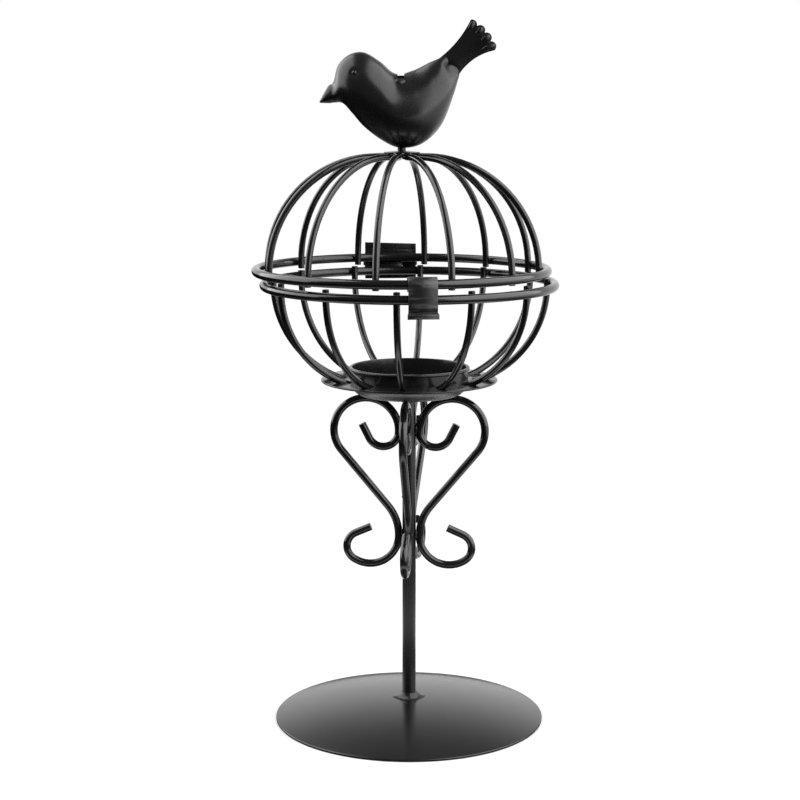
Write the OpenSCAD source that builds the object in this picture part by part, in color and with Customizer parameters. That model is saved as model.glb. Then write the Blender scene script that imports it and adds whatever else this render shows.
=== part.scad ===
// Bird cage candle lantern on a stand: a wire ball that opens at its middle, with a candle cup inside,
// a perched bird on top, four bent-wire scrolls and a domed foot.
// Millimetres. +Z is up, the latch is at the front (-Y) and the lid hinge at the back (+Y).
// The origin is on the table, at the middle of the foot.

/* [Foot] */
// Diameter of the domed base disc
base_d = 100; // [80:1:140]
// Height of the base disc's top above the table
base_h = 7.4; // [5:0.1:12]
// Thickness of the base disc's sheet
base_t = 1.0; // [0.6:0.1:1.6]
// Diameter of the flared collar round the post's foot
collar_d = 12; // [9:0.5:20]
// Height of the flared collar
collar_h = 2.1; // [1:0.1:5]
// Diameter of the screw that holds the post to the base
screw_d = 4; // [3:0.5:4.5]
// How far the screw reaches up into the post
screw_bite = 9; // [5:0.5:20]
// Diameter of the washer under the base disc
washer_d = 10; // [8:0.5:16]

/* [Post] */
// Diameter of the post
post_d = 5; // [5:0.1:8]
// Length of the post, from the base disc to the candle cup
post_l = 115.3; // [95:0.1:200]

/* [Scrolls] */
// Diameter of the scroll wire
scroll_wire_d = 2.9; // [2:0.1:4]
// Bend radius of the big loop under the cup
loop_r = 12; // [10:0.1:14]
// Bend radius of the curl inside the big loop
curl_r = 5.75; // [4.5:0.05:6]
// Length of the straight end of the curl
curl_tail = 6; // [3:0.5:7]
// Slope of the curl's straight end above the horizontal
curl_slope = 63.6; // [45:0.1:75]
// Slope of the long straight run below the horizontal
run_slope = 50.3; // [42:0.1:60]
// Bend radius where the scroll meets the post
waist_r = 17; // [12:0.5:20]
// Bend radius of the lower hook
hook_r = 10.8; // [8:0.1:12]
// Bend radius at the lower hook's tip
hook_tip_r = 5.6; // [4:0.1:7]
// Length of the hook's straight end
hook_tail = 6.2; // [3:0.1:8]
// Turn of the front scroll away from the latch line
scroll_turn = -11; // [-30:1:30]
// Turn of the back scroll out of line with the front one
back_scroll_turn = -7.5; // [-15:0.5:15]

/* [Candle cup] */
// Outside diameter of the cup's wall
cup_d = 43.2; // [40:0.1:50]
// Height of the cup
cup_h = 10.5; // [9:0.1:20]
// Thickness of the cup's sheet
cup_t = 0.7; // [0.5:0.1:1]
// Outside radius of the cup's bottom corner
cup_corner_r = 5.2; // [2:0.1:5.5]
// Thickness of the rolled bead round the rim
bead_d = 1.1; // [1:0.1:1.6]
// Diameter of the drip plate that the ribs stand on
plate_d = 64.6; // [62:0.1:76]
// Thickness of the drip plate
plate_t = 0.8; // [0.5:0.1:1.5]
// Height of the drip plate's underside above the cup's bottom
plate_rise = 5.2; // [5:0.1:8]

/* [Cage] */
// Diameter of the two hoops, measured at the middle of their wire
hoop_d = 105.4; // [100:0.1:120]
// Diameter of the hoop wire
hoop_wire_d = 3.3; // [2.5:0.1:3.5]
// Diameter of the rib wire
rib_wire_d = 2.4; // [1.6:0.1:2.4]
// Turn of the first bowl rib away from the latch line
bowl_rib_turn = 18.8; // [15:0.1:22]
// Turn of the first dome rib away from the latch line
dome_rib_turn = 13.8; // [13:0.1:17]
// How far each rib's end stands past its hoop's middle
rib_tail = 2.4; // [2:0.1:2.4]
// Radius at which the bowl ribs stand on the drip plate
rib_foot_r = 25.8; // [25.5:0.1:29]
// Height of the lower hoop above the drip plate
bowl_depth = 34.6; // [30:0.1:40]
// Height between the two hoops
hoop_pitch = 5.2; // [5:0.1:7]
// Height of the dome, and the bend radius of its ribs, which run level from there to the crown
dome_h = 40.8; // [34:0.1:43]
// How far the lid sits to the left of the bowl
lid_shift = 2.8; // [0:0.1:3]

/* [Crown and bird] */
// Diameter of the crown washer
crown_d = 13; // [12:0.5:18]
// Thickness of the crown washer
crown_t = 1.0; // [0.6:0.1:2]
// Radius at which the dome ribs end under the crown washer
rib_head_r = 5.2; // [5:0.1:5.8]
// Diameter of the stem that carries the bird
stem_d = 3; // [2:0.1:4]
// Gap between the crown washer and the bird's belly
perch_gap = 1; // [0.6:0.1:6]
// Length of the bird from beak to tail
bird_l = 63; // [50:0.1:75]
// Thickness of the bird's pressed sheet
bird_t = 0.8; // [0.6:0.1:1.2]
// Thickness of the tail fan
tail_t = 1.2; // [0.8:0.1:2]
// Number of tail feathers
feathers = 4; // [3:1:5]
// Diameter of each eye
eye_d = 2.6; // [1.6:0.1:3.4]

/* [Hinge] */
// Width of the hinge
hinge_w = 20; // [16:0.5:24]
// Width of the middle knuckle
mid_knuckle_w = 9; // [6:0.5:10]
// Height of the upper leaf above the hinge pin
upper_leaf_h = 8.4; // [6:0.1:9]
// Depth of the lower leaf below the hinge pin
lower_leaf_h = 5.8; // [5:0.1:8]
// Thickness of the hinge leaves
leaf_t = 0.8; // [0.5:0.1:1]
// Diameter of the hinge pin
pin_d = 1.6; // [1.2:0.1:1.8]

/* [Latch] */
// Width of the latch tab
latch_w = 10.7; // [8:0.1:14]
// Thickness of the latch tab
latch_t = 0.5; // [0.4:0.05:0.8]
// How far the tab's fold lies below the lower hoop's middle
latch_fold = 2.7; // [2.2:0.1:4]
// Depth of the tab's lip below its fold
lip_h = 3.4; // [2:0.1:4]

/* [Fits] */
// Gap between pieces that move past each other
clear_gap = 0.3; // [0.25:0.05:0.35]
// Running clearance of the hinge pin, on the radius
pin_clearance = 0.05; // [0.03:0.01:0.08]
// Clearance of the screw and of the cup in their holes, on the radius
hole_clearance = 0.05; // [0.02:0.01:0.1]
// How far one welded wire bites into the next
weld_bite = 0.05; // [0.02:0.01:0.08]

/* [Hidden] */
$fn = 64;
paint = [0.11, 0.11, 0.115];
steel = [0.62, 0.63, 0.65];

post_r = post_d / 2;
scroll_r = scroll_wire_d / 2;
hoop_r = hoop_d / 2;
hoop_wire_r = hoop_wire_d / 2;
rib_r = rib_wire_d / 2;
cup_r = cup_d / 2;
stem_r = stem_d / 2;

// Heights of the main levels, each from the one below
cup_z = base_h + post_l;
rim_z = cup_z + cup_h;
plate_z = cup_z + plate_rise + plate_t;
lower_hoop_z = plate_z + bowl_depth;
upper_hoop_z = lower_hoop_z + hoop_pitch;

// Bent wire: bends are drawn out a little thinner, lap into the straight runs, and never touch each other
bend_thin = 0.02;
bend_lap = 0.1;
bend_gap = 0.4;

// Base disc: two spheres with one middle, cut flat where the rim rests
rest_flat = 0.25;
base_r = base_d / 2;
dome_base_rise = base_h - base_t + rest_flat;
base_ball_r = (base_r * base_r + dome_base_rise * dome_base_rise) / (2 * dome_base_rise);
base_ball_z = base_h - base_ball_r - base_t;
screw_head_d = 1.8 * screw_d;
screw_head_h = 0.6 * screw_d;
base_washer_t = 0.8;
base_washer_z = base_ball_z + sqrt(base_ball_r * base_ball_r - washer_d * washer_d / 4) - base_washer_t;

// Scroll: loops from the post outwards, in the plane of radius and height
contact_r = post_r + scroll_r - weld_bite;
loop_z = cup_z - scroll_r - loop_r + weld_bite;
run_l = (loop_r * (1 + sin(run_slope)) - waist_r * (1 - sin(run_slope))) / cos(run_slope);
hook_open = 30;
hook_tip_slope = 156.4;
scroll_names = ["scroll_front", "scroll_right", "scroll_back", "scroll_left"];
scroll_turns = [for (i = [0 : 3]) scroll_turn + 90 * i + (i == 2 ? back_scroll_turn : 0)];
scroll_steps = [
    [curl_tail, 0],
    [curl_r, -90 - curl_slope],
    [bend_gap, 0],
    [loop_r, run_slope - 270],
    [run_l, 0],
    [waist_r, 90 - run_slope],
    [bend_gap, 0],
    [hook_r, 90 + hook_open],
    [bend_gap, 0],
    [hook_tip_r, hook_tip_slope - hook_open],
    [hook_tail, 0]
];

// Cage ribs: the bowl rib is one arc, the dome rib is a quarter turn and a level run
rib_line_r = hoop_r - hoop_wire_r - rib_r + weld_bite;
foot_in = rib_line_r - rib_foot_r;
bowl_r = (foot_in * foot_in + bowl_depth * bowl_depth) / (2 * foot_in);
foot_over = 1.5 * rib_wire_d;
bowl_turn = asin(bowl_depth / bowl_r) + foot_over / bowl_r * 180 / PI;
dome_steps = [[rib_tail, 0], [dome_h, 90], [rib_line_r - dome_h - rib_head_r, 0]];
// Number of ribs in each half of the cage
ribs = 12;
rib_step = 360 / ribs;

// Crown and bird
crown_z = upper_hoop_z + dome_h + rib_r - weld_bite;
belly_z = crown_z + crown_t + perch_gap;
bird_k = bird_l / 62.6;
bird_turn = -6;
back_hole_over = 0.35;
// Bird stations from the beak to the rump: [top x, top z, belly x, belly z, half width].
// They are measured from the belly's lowest point.
bird_stations = [
    [-29.2, 16.4, -29.1, 15.8, 0.8],
    [-26.2, 21.6, -25.6, 15.7, 2.2],
    [-24.3, 23.1, -23.6, 15.9, 3.4],
    [-22.6, 28.9, -20.8, 15.6, 6.4],
    [-18.6, 32.7, -17.6, 12.2, 9.0],
    [-13.4, 33.5, -13.2, 7.3, 10.6],
    [-7.8, 30.4, -6.6, 2.4, 11.8],
    [-2.2, 26.1, -0.4, 0, 12.1],
    [4, 27.2, 7.3, 1.5, 11.2],
    [9.8, 30, 14, 7.9, 8.9],
    [12.7, 31.2, 18.3, 18.3, 6],
    [14, 32, 20.3, 25.4, 1.6]
];
bird_taper = 0.16;
station_steps = 4;
section_steps = 10;
tail_root = [18.6, 30.6];
tail_root_r = 5.4;
tail_tip_r = 1.8;
feather_l = 15.7;
tail_low = 20.7;
tail_high = 63.6;
// The tail's two hollow edges: middle and radius of each
tail_under = [[36.43, 15.21], 19.27];
tail_over = [[-8.76, 60.87], 36.77];
// Middle of the eye in the cheek's sheet, and the gap round it
eye_place = [-16.6, 8.05, 26.2];
eye_gap = 0.1;

// Hinge and latch stand between the two hoops' middles
works_x = -lid_shift / 2;
knuckle_r = pin_d / 2 + pin_clearance + leaf_t;
leaf_y = hoop_r + hoop_wire_r - weld_bite;
pin_y = leaf_y + knuckle_r;
pin_z = (lower_hoop_z + upper_hoop_z) / 2;
pin_head = 0.6;
knuckle_gap = clear_gap;

// The latch's curl is straight and the hoop inside it is curved, so the curl is wider by the hoop's bow
latch_reach = lid_shift / 2 + latch_w / 2;
hoop_bow = hoop_r - sqrt(hoop_r * hoop_r - latch_reach * latch_reach);
curl_y = hoop_r - hoop_bow / 2;
curl_in_r = hoop_wire_r + hoop_bow / 2 + clear_gap + 0.02;
latch_lean = 0.35;
latch_wrap = 250;

function rib_name(prefix, i) = str(prefix, i < 10 ? "0" : "", i);

// ---- Shared shapes ----

// A round wire bent in the XY plane, from the origin along +X.
// Each step is [length, 0] for a straight run or [bend radius, turn to the left in degrees].
// Straight runs and bends take turns, and each bend is a little thinner and runs into its neighbours.
module bent_wire(d, steps, i = 0) {
    if (i < len(steps)) {
        size = steps[i][0];
        turn = steps[i][1];
        side = turn < 0 ? -1 : 1;
        lap = bend_lap / size * 180 / PI;
        if (turn == 0) {
            rotate([0, 90, 0])
                cylinder(d = d, h = size);
            translate([size, 0, 0])
                bent_wire(d, steps, i + 1);
        } else {
            translate([0, side * size, 0])
                rotate([0, 0, (turn < 0 ? 90 + turn : -90) - lap])
                    rotate_extrude(angle = abs(turn) + 2 * lap)
                        translate([size, 0])
                            circle(d = d - bend_thin);
            translate([0, side * size, 0])
                rotate([0, 0, turn])
                    translate([0, -side * size, 0])
                        bent_wire(d, steps, i + 1);
        }
    }
}

// Stands a flat XY shape up in the plane of radius (X) and height (Z)
module upright() {
    rotate([90, 0, 0])
        children();
}

// Turns the +X direction to the front (-Y), then by an angle towards +X
module facing(angle) {
    rotate([0, 0, angle - 90])
        children();
}

module hoop(z) {
    translate([0, 0, z])
        rotate_extrude($fn = 128)
            translate([hoop_r, 0])
                circle(r = hoop_wire_r);
}

// ---- Foot and post ----

module base_plate() {
    color(paint)
        difference() {
            intersection() {
                translate([0, 0, base_ball_z])
                    sphere(r = base_ball_r + base_t, $fn = 256);
                cylinder(r = base_r, h = base_h + 1, $fn = 128);
            }
            translate([0, 0, base_ball_z])
                sphere(r = base_ball_r, $fn = 256);
            cylinder(d = screw_d + 2 * hole_clearance, h = base_h + 1);
        }
}

module foot_collar() {
    color(paint)
        difference() {
            translate([0, 0, base_h - 1])
                union() {
                    cylinder(d = collar_d, h = 1);
                    translate([0, 0, 1])
                        cylinder(d1 = collar_d, d2 = post_d + 1, h = collar_h);
                }
            translate([0, 0, base_ball_z])
                sphere(r = base_ball_r + base_t, $fn = 256);
            cylinder(d = post_d + 2 * hole_clearance, h = base_h + collar_h + 1);
        }
}

module base_washer() {
    color(steel)
        translate([0, 0, base_washer_z])
            difference() {
                cylinder(d = washer_d, h = base_washer_t);
                translate([0, 0, -1])
                    cylinder(d = screw_d + 2 * hole_clearance, h = base_washer_t + 2);
            }
}

module base_screw() {
    head_z = base_washer_z - screw_head_h;
    color(steel)
        translate([0, 0, head_z])
            difference() {
                union() {
                    cylinder(d = screw_head_d, h = screw_head_h);
                    cylinder(d = screw_d, h = base_h + screw_bite - head_z);
                }
                translate([0, 0, -1])
                    cylinder(d = 0.6 * screw_d, h = 1 + screw_head_h / 2, $fn = 6);
            }
}

module post() {
    color(paint)
        difference() {
            translate([0, 0, base_h - 0.5])
                cylinder(r = post_r, h = post_l + 0.5);
            translate([0, 0, base_ball_z])
                sphere(r = base_ball_r + base_t, $fn = 256);
            translate([0, 0, base_h - 1])
                cylinder(d = screw_d + 2 * hole_clearance, h = screw_bite + 2);
        }
}

module scroll(turn) {
    start = [
        contact_r + curl_r * (1 + sin(curl_slope)) + curl_tail * cos(curl_slope),
        loop_z - bend_gap - curl_r * cos(curl_slope) + curl_tail * sin(curl_slope)
    ];
    color(paint)
        facing(turn)
            upright()
                translate(start)
                    rotate([0, 0, curl_slope - 180])
                        bent_wire(scroll_wire_d, scroll_steps);
}

// ---- Candle cup and drip plate ----

module cup_section(r, h, corner) {
    square([r - corner, h]);
    translate([0, corner])
        square([r, h - corner]);
    translate([r - corner, corner])
        circle(r = corner);
}

module candle_cup() {
    color(paint)
        translate([0, 0, cup_z])
            rotate_extrude($fn = 128)
                difference() {
                    union() {
                        cup_section(cup_r, cup_h, cup_corner_r);
                        translate([cup_r, cup_h - bead_d / 2])
                            circle(d = bead_d);
                    }
                    translate([0, cup_t])
                        cup_section(cup_r - cup_t, cup_h, cup_corner_r - cup_t);
                }
}

module drip_plate() {
    color(paint)
        translate([0, 0, plate_z - plate_t])
            rotate_extrude($fn = 128) {
                translate([cup_r + hole_clearance, 0])
                    square([(plate_d - plate_t) / 2 - cup_r - hole_clearance, plate_t]);
                translate([(plate_d - plate_t) / 2, plate_t / 2])
                    circle(d = plate_t, $fn = 32);
            }
}

// ---- Cage ----

module lower_hoop() {
    color(paint)
        hoop(lower_hoop_z);
}

module upper_hoop() {
    color(paint)
        translate([-lid_shift, 0, 0])
            hoop(upper_hoop_z);
}

// A rib starts past its hoop, runs straight by it and then bends to its end
module bowl_rib(i) {
    color(paint)
        facing(bowl_rib_turn + i * rib_step)
            difference() {
                translate([0, 0, lower_hoop_z])
                    mirror([0, 0, 1])
                        upright()
                            translate([rib_line_r, -rib_tail])
                                rotate([0, 0, 90])
                                    bent_wire(rib_wire_d, [[rib_tail, 0], [bowl_r, bowl_turn]]);
                translate([0, -2 * rib_wire_d, plate_z - 4 * rib_wire_d])
                    cube([rib_line_r, 4 * rib_wire_d, 4 * rib_wire_d]);
            }
}

module dome_rib(i) {
    color(paint)
        translate([-lid_shift, 0, 0])
            facing(dome_rib_turn + i * rib_step)
                difference() {
                    translate([0, 0, upper_hoop_z])
                        upright()
                            translate([rib_line_r, -rib_tail])
                                rotate([0, 0, 90])
                                    bent_wire(rib_wire_d, dome_steps);
                    translate([0, -2 * rib_wire_d, crown_z])
                        cube([hoop_r, 4 * rib_wire_d, 4 * rib_wire_d]);
                }
}

// ---- Crown and bird ----

module crown_washer() {
    color(paint)
        translate([-lid_shift, 0, crown_z])
            difference() {
                cylinder(d = crown_d, h = crown_t);
                translate([0, 0, -1])
                    cylinder(d = stem_d + 2 * hole_clearance, h = crown_t + 2);
            }
}

module bird_stem() {
    color(paint)
        translate([-lid_shift, 0, crown_z - 1])
            cylinder(r = stem_r, h = belly_z - crown_z + 1 + bird_k * 25.4);
}

// A smooth curve through four neighbouring values, at t from 0 to 1 between the middle two
function between(a, b, c, d, t) =
    0.5 * (2 * b + (c - a) * t + (2 * a - 5 * b + 4 * c - d) * t * t + (3 * b - a - 3 * c + d) * t * t * t);

function station(i) = bird_stations[max(0, min(len(bird_stations) - 1, i))] * bird_k;

function bird_section(n) =
    let (
        i = min(floor(n / station_steps), len(bird_stations) - 2),
        t = n / station_steps - i
    )
    between(station(i - 1), station(i), station(i + 1), station(i + 2), t);

// One point on a bird section's skin: angle 90 is the back's seam and -90 the belly's
function skin_point(s, angle, inset) =
    let (
        middle = [s[0] + s[2], s[1] + s[3]] / 2,
        up = [s[0] - s[2], s[1] - s[3]] / 2,
        size = norm(up),
        high = max(size - inset, 0.3 * size) / size,
        wide = max(s[4] - inset, 0.3 * s[4]),
        place = middle + up * high * sin(angle)
    )
    [place[0], wide * cos(angle) * (1 - bird_taper * sin(angle)), place[1]];

// Half of the bird's body as one sheet: each section is an outer arc and an inner arc back
module bird_half_shell() {
    sections = (len(bird_stations) - 1) * station_steps;
    across = 2 * (section_steps + 1);
    points = [
        for (n = [0 : sections])
            let (s = bird_section(n))
            each concat(
                [for (j = [0 : section_steps]) skin_point(s, 90 - 180 * j / section_steps, 0)],
                [for (j = [section_steps : -1 : 0]) skin_point(s, 90 - 180 * j / section_steps, bird_t)]
            )
    ];
    sides = [
        for (n = [0 : sections - 1], j = [0 : across - 1])
            let (a = n * across + j, b = n * across + (j + 1) % across)
            each [[a, b, b + across], [a, b + across, a + across]]
    ];
    beak_end = [
        for (j = [0 : section_steps - 1])
            let (a = j, b = j + 1, c = across - 2 - j, d = across - 1 - j)
            each [[a, c, b], [a, d, c]]
    ];
    last = sections * across;
    rump_end = [for (f = beak_end) [last + f[0], last + f[2], last + f[1]]];
    polyhedron(points, concat(sides, beak_end, rump_end));
}

module on_perch() {
    translate([-lid_shift, 0, belly_z])
        rotate([0, 0, bird_turn])
            children();
}

// The bird looks towards -X, so its left half (side -1) is the one nearer the front
module bird_half(side) {
    color(paint)
        difference() {
            on_perch()
                mirror([0, side < 0 ? 1 : 0, 0])
                    difference() {
                        bird_half_shell();
                        translate(bird_k * eye_place)
                            rotate([90, 0, 0])
                                cylinder(d = eye_d + 2 * eye_gap, h = 2 * eye_d, center = true);
                    }
            translate([-lid_shift, 0, crown_z])
                cylinder(r = stem_r + hole_clearance, h = belly_z - crown_z + bird_k * 12);
            translate([-lid_shift, 0, belly_z + bird_k * 12])
                cylinder(r = stem_r + back_hole_over, h = bird_k * 30);
        }
}

module feather(angle) {
    hull() {
        circle(r = tail_root_r);
        rotate(angle)
            translate([feather_l - tail_tip_r, 0])
                circle(r = tail_tip_r, $fn = 24);
    }
}

module bird_tail() {
    step = (tail_high - tail_low) / (feathers - 1);
    color(paint)
        on_perch()
            translate([0, bird_k * tail_t / 2, 0])
                rotate([90, 0, 0])
                    scale(bird_k)
                        linear_extrude(tail_t)
                            difference() {
                                translate(tail_root)
                                    for (i = [0 : feathers - 1])
                                        feather(tail_low + i * step);
                                rump_cut();
                                for (hollow = [tail_under, tail_over])
                                    translate(hollow[0])
                                        circle(r = hollow[1], $fn = 96);
                            }
}

// Everything on the body's side of the rump's end
module rump_cut() {
    rump = bird_stations[len(bird_stations) - 1];
    lean = atan2(rump[1] - rump[3], rump[0] - rump[2]);
    translate([rump[0], rump[1]])
        rotate(lean)
            translate([-30, 0])
                square([60, 30]);
}

module bird_eyes() {
    color(paint)
        on_perch()
            for (side = [0, 1])
                mirror([0, side, 0])
                    translate(bird_k * eye_place)
                        sphere(d = eye_d);
}

// ---- Hinge ----

// A leaf with its knuckles: the knuckles run over each [from, to] along the pin
module hinge_leaf(spans, gaps, height, up, bore_r) {
    translate([works_x, pin_y, pin_z])
        difference() {
            union() {
                for (s = spans)
                    translate([s[0], 0, 0])
                        rotate([0, 90, 0])
                            cylinder(r = knuckle_r, h = s[1] - s[0]);
                translate([-hinge_w / 2, -knuckle_r, up > 0 ? 0 : -height])
                    cube([hinge_w, leaf_t, height]);
            }
            for (s = spans)
                translate([s[0] - 1, 0, 0])
                    rotate([0, 90, 0])
                        cylinder(r = bore_r, h = s[1] - s[0] + 2);
            for (g = gaps)
                translate([g[0], -knuckle_r - 1, -knuckle_r - clear_gap])
                    cube([g[1] - g[0], 2 * knuckle_r + 2, 2 * (knuckle_r + clear_gap)]);
        }
}

module hinge_lower_leaf() {
    half = mid_knuckle_w / 2;
    color(paint)
        hinge_leaf(
            [[-half, half]],
            [[-hinge_w / 2 - 1, -half], [half, hinge_w / 2 + 1]],
            lower_leaf_h, -1, pin_d / 2
        );
}

module hinge_upper_leaf() {
    half = mid_knuckle_w / 2 + knuckle_gap;
    color(paint)
        hinge_leaf(
            [[-hinge_w / 2, -half], [half, hinge_w / 2]],
            [[-half, half]],
            upper_leaf_h, 1, pin_d / 2 + pin_clearance
        );
}

module hinge_pin() {
    color(paint)
        translate([works_x - hinge_w / 2 - pin_head, pin_y, pin_z])
            rotate([0, 90, 0])
                cylinder(d = pin_d, h = hinge_w + 2 * pin_head, $fn = 32);
}

// ---- Latch ----

// The tab's inner line from the curl down to the lip, measured from the hoop's middle: [forward, up]
function tab_line() =
    let (fold_z = -hoop_pitch - latch_fold)
    [
        [curl_in_r, 0],
        [curl_in_r + latch_lean, fold_z + 1.6],
        [curl_in_r, fold_z],
        [curl_in_r + 0.5 * lip_h, fold_z - 0.6 * lip_h],
        [curl_in_r + 0.6 * lip_h, fold_z - lip_h]
    ];

// A line moved sideways by t, with its corners kept sharp
function beside(line, t) = [
    for (i = [0 : len(line) - 1])
        let (
            a = line[i] - line[max(i - 1, 0)],
            b = line[min(i + 1, len(line) - 1)] - line[i],
            da = norm(a) > 0 ? a / norm(a) : b / norm(b),
            db = norm(b) > 0 ? b / norm(b) : da,
            m = [-da[1] - db[1], da[0] + db[0]] / (1 + da * db)
        )
        line[i] + m * t
];

module latch_profile() {
    line = tab_line();
    outer = beside(line, latch_t);
    far = 4 * curl_in_r;
    difference() {
        circle(r = curl_in_r + latch_t);
        circle(r = curl_in_r);
        polygon([
            [0, 0],
            far * [cos(latch_wrap), sin(latch_wrap)],
            [far, -2 * far],
            [far, 0]
        ]);
    }
    polygon(concat(line, [for (i = [len(line) - 1 : -1 : 1]) outer[i]], [[curl_in_r + latch_t, 0]]));
}

module latch_tab() {
    color(paint)
        translate([works_x + latch_w / 2, -curl_y, upper_hoop_z])
            rotate([0, 0, -90])
                rotate([90, 0, 0])
                    linear_extrude(latch_w)
                        latch_profile();
}

// ---- Nodes ----

base_plate();
foot_collar();
base_washer();
base_screw();
post();
for (i = [0 : 3])
    scroll(scroll_turns[i]);
candle_cup();
drip_plate();
lower_hoop();
for (i = [1 : ribs])
    bowl_rib(i - 1);
hinge_lower_leaf();
hinge_pin();
upper_hoop();
for (i = [1 : ribs])
    dome_rib(i - 1);
crown_washer();
bird_stem();
bird_half(-1);  // bird_left_half
bird_half(1);  // bird_right_half
bird_tail();
bird_eyes();
hinge_upper_leaf();
latch_tab();
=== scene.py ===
import math
import random

import bmesh
import bpy
from mathutils import Matrix, Vector


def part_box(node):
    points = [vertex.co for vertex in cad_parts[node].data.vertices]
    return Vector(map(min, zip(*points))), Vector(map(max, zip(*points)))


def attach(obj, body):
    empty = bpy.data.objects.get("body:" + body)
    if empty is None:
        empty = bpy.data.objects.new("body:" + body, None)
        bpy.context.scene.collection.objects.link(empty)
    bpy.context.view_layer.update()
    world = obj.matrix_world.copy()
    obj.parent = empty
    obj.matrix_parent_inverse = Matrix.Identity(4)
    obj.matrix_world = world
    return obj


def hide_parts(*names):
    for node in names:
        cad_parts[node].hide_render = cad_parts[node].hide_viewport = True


# Sizes are in millimetres and angles in degrees, as on the solids; meshes are made in metres.
MM = 0.001

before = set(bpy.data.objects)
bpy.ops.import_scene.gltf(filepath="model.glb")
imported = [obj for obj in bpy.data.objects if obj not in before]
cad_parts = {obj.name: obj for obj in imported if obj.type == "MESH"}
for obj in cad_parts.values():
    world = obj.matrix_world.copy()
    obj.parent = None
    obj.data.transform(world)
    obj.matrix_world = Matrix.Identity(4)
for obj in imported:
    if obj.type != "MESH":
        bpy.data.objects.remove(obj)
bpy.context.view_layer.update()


def cos(angle):
    return math.cos(math.radians(angle))


def sin(angle):
    return math.sin(math.radians(angle))


def span(node):
    """A solid's lowest and highest corner, in millimetres."""
    low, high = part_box(node)
    return low / MM, high / MM


# ---- Sizes, read from the solids where their boxes give them ----

# How far one welded wire bites into the next
WELD_BITE = 0.05

post_low, post_high = span("post")
POST_R = (post_high.x - post_low.x) / 2
CUP_Z = post_high.z
base_high = span("base_plate")[1]
BASE_TOP, BASE_R = base_high.z, base_high.x
BASE_T = 1.0
# The curve of the underside would end this far below the floor, and is cut flat there
REST_FLAT = 0.25
SCREW_HOLE_R = 2.05
collar_high = span("foot_collar")[1]
COLLAR_TOP, COLLAR_R = collar_high.z, collar_high.x

cup_high = span("candle_cup")[1]
RIM_Z = cup_high.z
CUP_T = 0.7
CUP_BEAD = 1.1
CUP_R = cup_high.x - CUP_BEAD / 2
CUP_CORNER = 5.2
plate_low, plate_high = span("drip_plate")
PLATE_Z, PLATE_R = plate_high.z, plate_high.x
PLATE_T = PLATE_Z - plate_low.z

hoop_low, hoop_high = span("lower_hoop")
HOOP_WIRE_R = (hoop_high.z - hoop_low.z) / 2
HOOP_R = hoop_high.x - HOOP_WIRE_R
LOWER_HOOP_Z = (hoop_low.z + hoop_high.z) / 2
lid_low, lid_high = span("upper_hoop")
UPPER_HOOP_Z = (lid_low.z + lid_high.z) / 2
LID_X = (lid_low.x + lid_high.x) / 2

RIB_R = 1.2
RIB_TAIL = 2.4
RIB_LINE_R = HOOP_R - HOOP_WIRE_R - RIB_R + WELD_BITE
RIB_FOOT_R = 25.8
BOWL_DEPTH = LOWER_HOOP_Z - PLATE_Z
BOWL_R = ((RIB_LINE_R - RIB_FOOT_R) ** 2 + BOWL_DEPTH ** 2) / (2 * (RIB_LINE_R - RIB_FOOT_R))
DOME_H = 40.8
RIB_HEAD_R = 5.2
RIBS = 12
BOWL_TURN = 18.8
DOME_TURN = 13.8

SCROLL_R = 1.45
CONTACT_R = POST_R + SCROLL_R - WELD_BITE
LOOP_R = 12
LOOP_Z = CUP_Z - SCROLL_R - LOOP_R + WELD_BITE
CURL_R, CURL_TAIL, CURL_SLOPE = 5.75, 6, 63.6
RUN_SLOPE, WAIST_R = 50.3, 17
HOOK_R, HOOK_OPEN, HOOK_TIP_R, HOOK_TIP_SLOPE, HOOK_TAIL = 10.8, 30, 5.6, 156.4, 6.2
BEND_GAP = 0.4
SCROLL_TURNS = {"front": -11, "right": 79, "back": 161.5, "left": 259}
# The straight run from the loop down to the waist, and the waist's height
RUN = (LOOP_R * (1 + sin(RUN_SLOPE)) - WAIST_R * (1 - sin(RUN_SLOPE))) / cos(RUN_SLOPE)
WAIST_Z = LOOP_Z - LOOP_R * cos(RUN_SLOPE) - RUN * sin(RUN_SLOPE) - WAIST_R * cos(RUN_SLOPE)

crown_low, crown_high = span("crown_washer")
CROWN_Z = crown_low.z
CROWN_T = crown_high.z - CROWN_Z
CROWN_R = (crown_high.x - crown_low.x) / 2
STEM_R = 1.5
STEM_SHOWN = 1
# The bird's length over the length of its table of stations
BIRD_K = 63 / 62.6
BIRD_TURN = -6
BELLY_Z = CROWN_Z + CROWN_T + STEM_SHOWN

WORKS_X = LID_X / 2
PIN_R = 0.8
KNUCKLE_R = 1.65
LEAF_T = 0.8
HINGE_W = 20
KNUCKLE_HALF = 4.5
PIN_Y = HOOP_R + HOOP_WIRE_R - WELD_BITE + KNUCKLE_R
PIN_Z = (LOWER_HOOP_Z + UPPER_HOOP_Z) / 2


# ---- Trees of nodes, and sums written as Python ----

class Value:
    """The output of a node. Sums and products of it add Math nodes."""

    def __init__(self, tree, socket):
        self.tree = tree
        self.socket = socket

    def maths(self, operation, *terms, clamp=False):
        settings = {"operation": operation, "use_clamp": clamp}
        return self.tree.node("ShaderNodeMath", settings, dict(enumerate(terms)))

    def __add__(self, other):
        return self.maths("ADD", self, other)

    def __radd__(self, other):
        return self.maths("ADD", other, self)

    def __sub__(self, other):
        return self.maths("SUBTRACT", self, other)

    def __rsub__(self, other):
        return self.maths("SUBTRACT", other, self)

    def __mul__(self, other):
        return self.maths("MULTIPLY", self, other)

    def held(self):
        """The same value, kept from 0 to 1."""
        return self.maths("ADD", self, 0.0, clamp=True)

    def other(self, name):
        """Another output of the same node."""
        return Value(self.tree, self.socket.node.outputs[name])


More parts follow.
